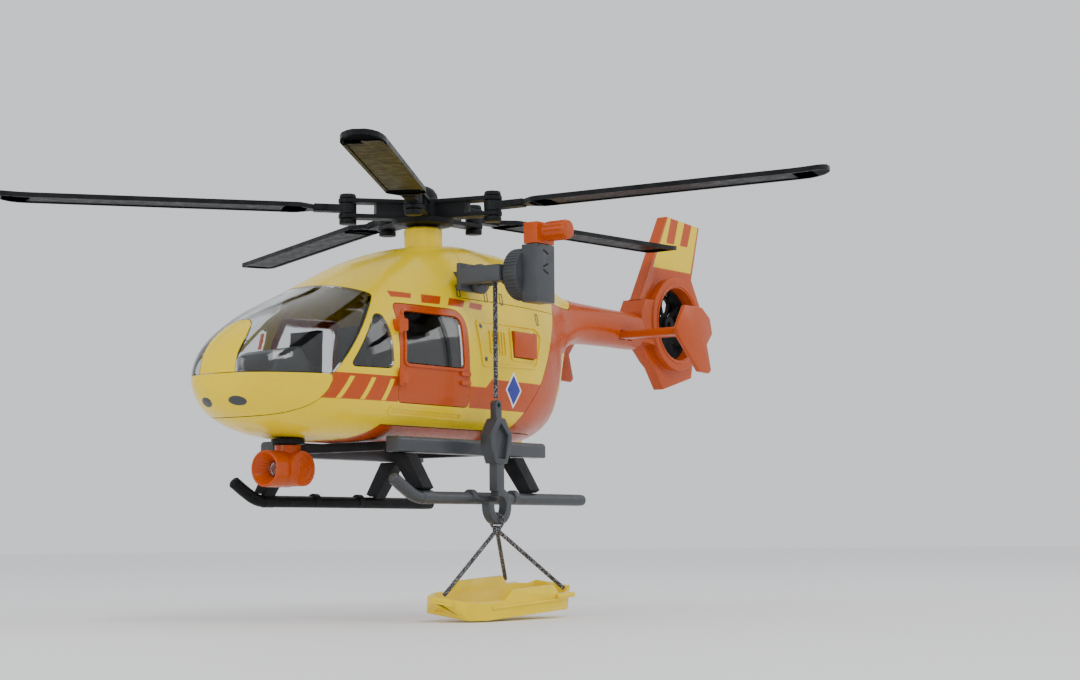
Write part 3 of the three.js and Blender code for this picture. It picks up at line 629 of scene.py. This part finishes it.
def put(made, name, body, slot, *nodes, material=None, angle=32):
    """Names a finished piece, gives it its material, and hands it to its body."""
    made.name = name
    made.data.name = name
    smoothed(made, angle)
    made.data.materials.clear()
    made.data.materials.append(MATERIALS[material or slot])
    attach(made, body)
    if nodes:
        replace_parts(made, *nodes)
    return made


BODY_OF = {n: b for b, nodes in frame["record"]["behaviour"]["bodies"].items() for n in nodes}
SLOT_OF = {s["node"]: s["material_slot"] for s in frame["record"]["subparts"]}


def refined(node, bevel=0.35, segments=2, angle=34):
    """A copy of a CAD solid with moulded, rounded edges."""
    bm = bmesh.new()
    bm.from_mesh(frame["nodes"][node].data)
    bmesh.ops.remove_doubles(bm, verts=bm.verts, dist=2e-6)
    bmesh.ops.dissolve_limit(bm, angle_limit=math.radians(1.2), verts=bm.verts, edges=bm.edges)
    sharp = [e for e in bm.edges if len(e.link_faces) == 2 and e.calc_face_angle(0) > math.radians(angle)]
    if bevel and sharp:
        bmesh.ops.bevel(bm, geom=sharp, offset=bevel / 1000, segments=segments, profile=0.6,
                        affect="EDGES", clamp_overlap=True)
    mesh = bpy.data.meshes.new(node + "_finished")
    bm.to_mesh(mesh)
    bm.free()
    made = bpy.data.objects.new(node + "_finished", mesh)
    bpy.context.scene.collection.objects.link(made)
    return made


def put_refined(node, bevel=0.35, material=None, extra=(), segments=2, angle=34):
    """A refined CAD node, with any extra pieces of its own, put in the node's place."""
    made = refined(node, bevel, segments, angle)
    if extra:
        made = combined(node + "_finished", [made, *extra])
    return put(made, node + "_finished", BODY_OF[node], SLOT_OF[node], node, material=material, angle=38)


# ---- fuselage pieces --------------------------------------------------------------------------

NECK_R, NECK_ROOM_R, MAST_HOLE_R = 8, 8.3, 3.4
BUTTON_HOLE = (-33.9, -17.7, 20, 50, 59.9, 70.7)
COVER_HOLE = (-34, -2, -13, 13, 20, 30)
BEACON_SEAT = [[-56, 0], [-60, 5], [-74, 5], [-78, 0], [-74, -5], [-60, -5]]
EXHAUST_X, EXHAUST_Z, EXHAUST_ROOM_R = -71, 95.5, 4.3
BOOM_END = (-160.5, -157.9, -30, 30, 60, 110)
STABILIZER_SLOT = (-148.8, -137.2, -20, 20, 77.9, 82.1)
NOTCHES, NOTCH_LONG = (-150, -139, -128, -117), 5
LAMP_Y, LAMP_Z, LAMP_REACH_Y, LAMP_REACH_Z = 7.6, 36.9, 3.3, 1.7
NOSE_SEAM = rounded([[112, 44.4], [93, 44.4], [93, 43.9], [112, 43.9]], 0.2, 2)

neck_profile = [[0, NECK_R], [10.4, NECK_R], [11, 7.4]]
neck = cut(turned("neck", neck_profile, at(MAST_X, 0, 103), at(MAST_X, 0, 114), 10),
           turned("neck_bore", [[0, MAST_HOLE_R], [20, MAST_HOLE_R]], at(MAST_X, 0, 100), at(MAST_X, 0, 120)))
body = cut(boolean("DIFFERENCE", shell, side(grown(FILLET["glazing"], GAP))),
           side(grown(FILLET["nose"], GAP)), side(grown(BELLY, GAP)), side(grown(REAR_QUARTER, GAP)),
           side(grown(rounded(COWL, 2), GAP)), side(grown(DOORWAY, GAP)), side(grown(PILOT_WINDOW, GAP)),
           box(*BUTTON_HOLE),
           turned("mast_hole", [[0, MAST_HOLE_R], [60, MAST_HOLE_R]], at(MAST_X, 0, 90), at(MAST_X, 0, 120)))
body = combined("body", [largest(body), neck])
put(body, "fuselage_shell", "airframe", "yellow_plastic", "body_shell", material="yellow_body")

put(common(shell, FILLET["nose"]), "nose_cap_shell", "airframe", "yellow_plastic", "nose_cap")
seams = [common(line_skin, NOSE_SEAM, *flank(sign, 3)) for _, sign in HALVES]
put(combined("seams", seams), "nose_seam", "airframe", "yellow_plastic")
for name, sign in HALVES:
    oval = ellipse(LAMP_Y * sign, LAMP_Z, LAMP_REACH_Y, LAMP_REACH_Z, 24)
    through = prism("through", oval, lambda y, z, x: at(x, y, z), 100, 125)
    pocket = boolean("INTERSECT", line_skin, through)
    put(pocket, "nose_lamp_" + name, "airframe", "dark_grey_plastic")
screen = cut(common(shell, FILLET["glazing"]), plan(grown(rounded(BRIDGE, 1.5), GAP), 46, 81))
put(largest(screen), "windscreen_pane", "airframe", "clear_plastic", "windscreen", angle=50)
bridge = boolean("INTERSECT", common(shell, FILLET["glazing"]), plan(rounded(BRIDGE, 1.5), 47.2, 80),
                 keep_target=False)
put(largest(bridge), "nose_bridge_panel", "airframe", "yellow_plastic", "nose_bridge")
belly = cut(common(shell, BELLY), box(*COVER_HOLE))
put(belly, "belly_shell", "airframe", "orange_plastic", "belly_tray")
cowl = cut(common(shell, rounded(COWL, 2)),
           turned("neck_room", [[0, NECK_ROOM_R], [25, NECK_ROOM_R]],
                  at(MAST_X, 0, 95), at(MAST_X, 0, 120), 10),
           plan(grown(BEACON_SEAT, GAP), 90, 115),
           turned("exhaust_room", [[0, EXHAUST_ROOM_R], [60, EXHAUST_ROOM_R]],
                  at(EXHAUST_X, -30, EXHAUST_Z), at(EXHAUST_X, 30, EXHAUST_Z)))
put(cowl, "cowl_shell", "airframe", "yellow_plastic", "engine_cowl")
quarter = cut(common(shell, REAR_QUARTER), side(grown(REAR_DOOR, GAP)), box(*BOOM_END),
              box(*STABILIZER_SLOT), *[box(x, x + NOTCH_LONG, -0.9, 0.9, 91.6, 95) for x in NOTCHES])
put(largest(quarter), "tail_boom_shell", "airframe", "orange_plastic", "tail_boom")
put_refined("rear_door", 0.3)

DOOR_PIN_X, DOOR_PIN_Y, KNUCKLE_LONG = 56.6, 36, 7
KNUCKLE = [[0, 0.6], [0.3, 0.9], [6.7, 0.9], [KNUCKLE_LONG, 0.6]]
for name, sign in HALVES:
    span = flank(sign, 5)
    pane = common(shell, PILOT_WINDOW, *span)
    put(pane, "pilot_pane_" + name, "airframe", "clear_plastic", "pilot_window_" + name, angle=50)
    leaf = cut(common(shell, DOORWAY, *span), side(grown(DOOR_GLASS, GAP)))
    rim = cut(common(raised, grown(DOOR_GLASS, 1.5), *span), side(grown(DOOR_GLASS, 0.5)))
    hardware = []
    for z in (44, 64):
        ends = [at(DOOR_PIN_X, DOOR_PIN_Y * sign, h) for h in (z, z + KNUCKLE_LONG)]
        hardware.append(turned("knuckle", KNUCKLE, *ends, 20))
        strap = rounded([[52.6, z + 1.2], [56.8, z + 1.2], [56.8, z + 5.8], [52.6, z + 5.8]], 0.8, 4)
        hardware.append(side(strap, *flank(sign, 32.2, 36.3)))
    for z in (46.6, 50.2):
        grip = rounded([[12.6, z], [18.5, z], [18.5, z + 1.6], [12.6, z + 1.6]], 0.5, 4)
        hardware.append(side(grip, *flank(sign, 34, 35.7)))
    leaf = combined("leaf", [largest(leaf), rim, *hardware])
    put(leaf, "door_leaf_" + name, name + "_door", "orange_plastic", "door_" + name)
    glass = common(shell, DOOR_GLASS, *span)
    put(glass, "door_pane_" + name, name + "_door", "clear_plastic", "door_window_" + name, angle=50)

# Raised details on both flanks: the service panel with its louvre, the button frame and the rib.
PANEL = rounded([[6.3, 73.6], [-38.3, 74], [-43, 70.6], [-36.2, 56.2], [3.6, 54.9]], [2, 3, 3, 3, 2])
BUTTON_FRAME = rounded([[-16.4, 72], [-35.2, 72], [-35.2, 58.6], [-16.4, 58.6]], 1.6)
RIB = rounded([[60, 36.4], [60, 33.2], [16, 32.6], [16, 35.8]], 1.2)
LOUVRES, LOUVRE_X, LOUVRE_PITCH = 6, -2.2, 2.0
SCREWS = ((3, 71.2), (1, 58), (-37, 70.6))
SLOTS = ((14.2, 82.2, -1.2), (-3.2, 81.6, -1), (-13.6, 81.2, -1), (-40.4, 75, -0.4))
for name, sign in HALVES:
    span = flank(sign, 5)
    details = [cut(common(raised, PANEL, *span), side(grown(PANEL, -0.9)))]
    details.append(cut(common(raised, BUTTON_FRAME, *span), side(grown(BUTTON_FRAME, -1.1))))
    details.append(cut(common(raised, RIB, *span), side(grown(RIB, -0.8))))
    for k in range(LOUVRES):
        x = LOUVRE_X - LOUVRE_PITCH * k
        louvre = rounded([[x, 69.8], [x - 0.9, 69.8], [x - 0.9, 60.4], [x, 60.4]], 0.4, 3)
        details.append(common(raised, louvre, *span))
    put(combined("details", details), "flank_relief_" + name, "airframe", "yellow_plastic")
    marks = []
    for x, z in SCREWS:
        marks.append(common(line_skin, ellipse(x, z, 0.9, 0.9, 12), *span))
    for x, z, lean in SLOTS:
        slot = rounded([[x, z], [x - 2.2, z], [x - 2.2 + lean, z + 5], [x + lean, z + 5]], 0.5, 3)
        marks.append(cut(common(line_skin, slot, *span), side(grown(slot, -0.4))))
    put(combined("marks", marks), "flank_marks_" + name, "airframe", "dark_grey_plastic")

# ---- tail, landing gear and the small hard parts ----------------------------------------------

FAN = at(-189.8, 0, 89)
fin_rings = [torus("ring", FAN + PORT * s * 0.0072, PORT, 18.7, 0.5, 64) for s in (1, -1)]
put_refined("tail_fin", 0.7, "orange_fin", fin_rings, 3, 28)


def smooth_tube(name, points, radius, sides=20, steps=8):
    """A round tube on a Catmull-Rom curve, with rounded ends."""
    ctrl = [points[0] * 2 - points[1], *points, points[-1] * 2 - points[-2]]
    path = []
    for i in range(1, len(ctrl) - 2):
        a, b, c, d = ctrl[i - 1:i + 3]
        for k in range(steps):
            t = k / steps
            path.append(0.5 * (2 * b + (c - a) * t + (2 * a - 5 * b + 4 * c - d) * t * t
                               + (3 * b - a - 3 * c + d) * t ** 3))
    path.append(points[-1])
    first, last = (path[1] - path[0]).normalized(), (path[-1] - path[-2]).normalized()
    r = radius / 1000
    steps_in, swell = (0.15, 0.7, 1.1), [radius * math.sin(a) for a in (0.35, 0.8, 1.25)]
    head = [path[0] + first * r * (1 - math.cos(a)) for a in steps_in]
    tail = [path[-1] - last * r * (1 - math.cos(a)) for a in steps_in[::-1]]
    path = [*head, *path[1:-1], *tail]
    radii = [*swell, *[radius] * (len(path) - 6), *swell[::-1]]
    return swept(name, path, radii, sides)


def swept(name, path, radii, sides):
    """A closed tube along a path. radii is a list, or a function of the step and the angle."""
    vertices = []
    across = None
    for i, p in enumerate(path):
        tangent = (path[min(i + 1, len(path) - 1)] - path[max(i - 1, 0)]).normalized()
        if across is None:
            across = tangent.orthogonal().normalized()
        across = (across - tangent * across.dot(tangent)).normalized()
        other = tangent.cross(across)
        for k in range(sides):
            a = 2 * math.pi * k / sides
            r = radii[i] if not callable(radii) else radii(i, a)
            vertices.append(p + (across * math.cos(a) + other * math.sin(a)) * r / 1000)
    return outward(mesh_object(name, vertices, capped(len(path), sides)))


SKID_Y, SKID_Z, SKID_R = 40.3, 2.15, 2.4
SKID_ROUTE = [[-58, 0], [-20, 0], [20, 0], [46, 0], [54, 0.6], [61, 3.8], [67.5, 7.6]]
# profile, start in X, length and height of each collar on a skid
CLAMP = [[0, 2.5], [0.3, 2.9], [2.7, 2.9], [3, 2.5]]
SLEEVE = [[0, 2.4], [0.3, 2.7], [6, 2.7], [6.4, 2.4]]
COLLARS = ((CLAMP, -9.5, 3, 2.7), (CLAMP, 18, 3, 2.7), (SLEEVE, 44.4, 6.4, 2.3))
for name, sign in HALVES:
    y = SKID_Y * sign
    tube = smooth_tube("tube", [at(x, y, SKID_Z + z) for x, z in SKID_ROUTE], SKID_R)
    collars = [turned("collar", profile, at(x, y, z), at(x + length, y, z), 32)
               for profile, x, length, z in COLLARS]
    put(combined("skid", [tube, *collars]), "skid_tube_" + name, "airframe", SLOT_OF["skid_" + name],
        "skid_" + name)

LAMP = at(80, 0, 13.1)
rings = [torus("ring", LAMP + PORT * s * 0.0078, PORT, r, 0.28, 40) for s in (1, -1) for r in (5.6, 3.4)]
rings += [torus("ring", LAMP + NOSEWARD * 0.0126, NOSEWARD, 6.3, 0.35, 40)]
for _, sign in HALVES:
    rings.append(box(78.4, 81.6, *flank(sign, 7.7, 8.1), 12.7, 13.5))
put_refined("searchlight", 0.3, extra=rings)

# Winch: knurled disc, ribbed drum and the crank with its fluted knob.
AXLE_X, AXLE_Z = 7.2, 89.5
KNURLS, KNURL_RING, KNURL_Y = 44, 9.95, (54.8, 60.8)
KNURL = [[0, 0.2], [0.2, 0.34], [5.8, 0.34], [6, 0.2]]
RIB_YS = (39, 40.9, 42.8, 48.7, 50.6, 52.5)
FLUTES, FLUTE_RING, FLUTE_Y, KNOB_Z = 12, 3.5, (69.6, 78.6), 105.4
FLUTE = [[0, 0.2], [0.4, 0.5], [8.6, 0.5], [9, 0.2]]


def fluting(name, profile, x, z, ring, count, ys, sides):
    """Thin rods along Y, side by side on a ring about the point [x, z]."""
    places = ellipse(x, z, ring, ring, count)
    return [turned(name, profile, *[at(u, y, v) for y in ys], sides) for u, v in places]


knurls = fluting("knurl", KNURL, AXLE_X, AXLE_Z, KNURL_RING, KNURLS, KNURL_Y, 6)
ribs = [torus("rib", at(AXLE_X, y, AXLE_Z), PORT, 2.7, 0.75, 28) for y in RIB_YS]
put_refined("winch_drum", 0.6, extra=[*knurls, *ribs])
arrows = []
for z, lean in ((96.5, 1), (92.6, -1), (88.7, 1)):
    x0, x1 = AXLE_X - 1.6, AXLE_X + 1.6
    rise = 1.3 * lean
    arrows.append(side([[x0, z], [x1, z + rise], [x1, z + rise + 0.7], [x0, z + 0.7]], 68.2, 68.5))
put(combined("arrows", arrows), "winch_marks", "winch", "black_plastic")
flutes = fluting("flute", FLUTE, AXLE_X, KNOB_Z, FLUTE_RING, FLUTES, FLUTE_Y, 8)
put_refined("crank_handle", 0.6, extra=flutes)

# ---- rotor ------------------------------------------------------------------------------------

BLADE_Z = 121.5
PIN_R = 31.3  # the blade pins' distance from the mast
TIP = 171.5
SAG = [-0.6, 1.7, 0.3, -1.6, 0.3]  # each blade's rise in degrees
FIRST = 31.5  # the first blade's heading in degrees
BLADE_HALF, BLADE_RIM, PANEL_SINK, BLADE_HALF_THICK = 7.8, 1.3, 0.42, 0.95
UPTURN, UPTURN_FROM = 1.1, 12


def blade(name):
    """A blade along +X from the mast: a raised rim round a sunk panel, and an upturned tip."""
    half, thick = BLADE_HALF, BLADE_HALF_THICK
    rows = [[40, 2.6], [46, 3.2], [48.5, 5.2], [51, 7.2], [53, half]]
    rows += [[x, half] for x in np.linspace(58, TIP - 9, 24)]
    rows += [[TIP - 6, half - 0.5], [TIP - 3, half - 1.6], [TIP - 1, half - 3.6], [TIP, 2.2]]
    shape = [(-1, -1), (-1, 1), (0, 1), (0, 0), (1, 0), (1, 1), (2, 1), (2, -1), (1, -1), (1, -2),
             (0, -2), (0, -1)]
    vertices = []
    for i, (x, h) in enumerate(rows):
        inner = max(h - BLADE_RIM, 0.2)
        sunk = PANEL_SINK if 5 <= i < len(rows) - 4 else 0.0
        lift = max(0, (x - (TIP - UPTURN_FROM)) / UPTURN_FROM) ** 2 * UPTURN
        for column, level in shape:
            y = {-1: -h, 0: -inner, 1: inner, 2: h}[column]
            z = {-1: -thick, 1: thick, 0: thick - sunk, -2: -thick + sunk}[level]
            vertices.append(Vector((x, y, z + lift)))
    return outward(mesh_object(name, vertices, capped(len(rows), len(shape))))


# Inside this circle a blade's root keeps its CAD shape.
ROOT_LIMIT = ellipse(MAST_X, 0, PIN_R + 14, PIN_R + 14, 64)
for k in range(len(SAG)):
    made = blade("blade")
    bm = bmesh.new()
    bm.from_mesh(made.data)
    edges = [e for e in bm.edges if e.calc_face_angle(0) > 0.9]
    bmesh.ops.bevel(bm, geom=edges, offset=0.16, segments=2, profile=0.6, affect="EDGES", clamp_overlap=True)
    bm.to_mesh(made.data)
    bm.free()
    tilt = Matrix.Rotation(math.radians(-SAG[k]), 4, "Y")
    spin = Matrix.Rotation(math.radians(FIRST + 72 * k), 4, "Z")
    local = Matrix.Translation((PIN_R, 0, 0)) @ tilt @ Matrix.Translation((-PIN_R, 0, 0))
    whole = Matrix.Translation(at(MAST_X, 0, BLADE_Z)) @ spin @ Matrix.Scale(0.001, 4) @ local
    made.data.transform(whole)
    root = refined(f"rotor_blade_{k + 1}", 0)
    root = boolean("INTERSECT", root, plan(ROOT_LIMIT, 100, 140), keep_target=False)
    put(combined("blade", [made, root]), f"blade_{k + 1}_moulding", f"blade_{k + 1}", "black_plastic",
        f"rotor_blade_{k + 1}")

# ---- cords ------------------------------------------------------------------------------------

LINE = (10.4, 46.1)  # where the line hangs, in X and Y
KNOT_Z, BOWL_Z = -10.1, -6.8
HANG_Z = -41.2  # height of the tray's own origin


def braided(name, start, end, radius, pitch=3.4):
    """A tight braided cord from start to end: plaited strands standing slightly proud."""
    length = (end - start).length * 1000
    count = max(24, int(length / 0.24))
    path = [start.lerp(end, i / count) for i in range(count + 1)]

    def relief(i, a):
        along = 2 * math.pi * length * i / count / pitch
        plait = abs(math.sin(2 * a + along)) + abs(math.sin(2 * a - along))
        return radius * (0.78 + 0.13 * plait)

    return swept(name, path, relief, 24), [list(p) for p in path[::4]] + [list(path[-1])]


line_top, line_foot = at(*LINE, 88.6), at(*LINE, 41.1)
line, route = braided("winch_cord", line_foot, line_top, 0.95)
put(line, "winch_cord", "hook", "cord_black", "winch_line", angle=60)
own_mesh(line)

ROLL, PITCH = math.radians(-8), math.radians(3)
tray_turn = Matrix.Rotation(PITCH, 3, "Y") @ Matrix.Rotation(ROLL, 3, "X")


def on_tray(x, y, z):
    """A point of the tilted tray, from its place on the tray in millimetres."""
    moved = tray_turn @ Vector((x, y, z))
    return at(LINE[0] + moved.x, LINE[1] + moved.y, HANG_Z + moved.z)


knot = at(*LINE, KNOT_Z)
CLEATS = [[34.4, 0], [-25, 13.2], [-22, -13.2]]
for k, (x, y) in enumerate(CLEATS):
    foot = on_tray(x, y, 8.6)
    start = knot + (foot - knot).normalized() * 0.0008
    leg, route = braided("sling", start, foot, 0.85, 3.0)
    nodes = ["slings"] if k == 0 else []
    put(leg, f"sling_{k + 1}", "stretcher", "cord_black", *nodes, angle=60)
tie = [torus("turn", knot + SKYWARD * dz, SKYWARD, 1.0, 0.75, 24) for dz in (-0.0009, 0, 0.0009)]
tie.append(torus("turn", at(*LINE, BOWL_Z), NOSEWARD, 3.0, 0.55, 36))
put(combined("tie", tie), "sling_tie", "stretcher", "cord_black")

# T-shaped cleats at the bow and on both sides towards the stern, and the ledge under the rim.


def tray_box(x0, x1, y0, y1, z0, z1):
    made = box(x0, x1, y0, y1, z0, z1, "cleat")
    for v in made.data.vertices:
        x, y, z = v.co.x * 1000 + MAST_X, v.co.y * 1000, v.co.z * 1000 + GRIP
        v.co = on_tray(x, y, z)
    return made


def tray_rod(start, end):
    radius, length = 0.9, (end - start).length * 1000
    profile = [[0, radius * 0.7], [0.3, radius], [length - 0.3, radius], [length, radius * 0.7]]
    return turned("cleat", profile, start, end, 16)


cleats = [tray_rod(on_tray(35.4, -4.6, 6.6), on_tray(35.4, 4.6, 6.6))]
for _, sign in HALVES:
    cleats.append(tray_rod(on_tray(-31, 14.2 * sign, 6), on_tray(-19.6, 14.2 * sign, 6)))
    cleats.append(tray_box(-27, 22, *flank(sign, 12.9, 14), 4.3, 5.1))
put_refined("stretcher", 0.15, extra=cleats, segments=1)

# ---- everything else keeps its CAD shape with rounded edges -------------------------------------

BEVELS = {
    "rotor_hub": 0.45, "hook_block": 0.5, "stabilizer": 0.8, "end_plate_port": 0.5,
    "end_plate_starboard": 0.5, "winch_bracket": 0.5, "cross_strut_front": 0.6, "cross_strut_rear": 0.6,
    "side_step_port": 0.6, "side_step_starboard": 0.6, "seat_unit": 0.8, "instrument_panel": 0.8,
    "light_button": 0.5, "button_cells": 0.3, "button_spring": 0, "circuit_board": 0.2, "tail_fan": 0.15,
    "fan_stator": 0.2, "beacon_lens": 0.3, "searchlight_lens": 0.2,
}
taken = {n for o in bpy.data.objects for n in o.get("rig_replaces", [])}
for node in sorted(frame["nodes"]):
    if node not in taken:
        put_refined(node, BEVELS.get(node, 0.35))
drop(outer, hollow, shell, raised, line_skin)

# ---- floor and light ----------------------------------------------------------------------------

FLOOR_HALF = 6
low = cad_box[0].z - 0.0005
corners = [(x * FLOOR_HALF, y * FLOOR_HALF, low) for x, y in ((-1, -1), (1, -1), (1, 1), (-1, 1))]
floor = mesh_object("floor", corners, [(0, 1, 2, 3)])
paper = Finish("paper")
paper.shader.inputs["Roughness"].default_value = 0.6
paper.link(paper.mix(paper.noise(4), (0.88, 0.88, 0.88), (0.92, 0.92, 0.92)), "Base Color")
floor.data.materials.append(paper.material)


def lamp(name, place, size, power_w):
    """A soft rectangular lamp that points at the object."""
    light = bpy.data.lights.new(name, "AREA")
    light.shape = "RECTANGLE"
    light.size, light.size_y = size
    light.energy = power_w
    made = bpy.data.objects.new(name, light)
    bpy.context.scene.collection.objects.link(made)
    made.location = place
    made.rotation_mode = "QUATERNION"
    made.rotation_quaternion = (-Vector(place)).to_track_quat("-Z", "Y")


lamp("key", (0.6, 1.1, 1.2), (0.5, 0.5), 8)
lamp("front", (1.4, -0.2, 0.5), (0.35, 0.9), 4)
lamp("rear", (-1.0, 0.9, 0.7), (0.5, 0.7), 2.5)
world = bpy.data.worlds.new("world")
bpy.context.scene.world = world
world.use_nodes = True
sky = world.node_tree.nodes["Background"]
sky.inputs["Color"].default_value = (0.95, 0.97, 1, 1)
sky.inputs["Strength"].default_value = 0.95
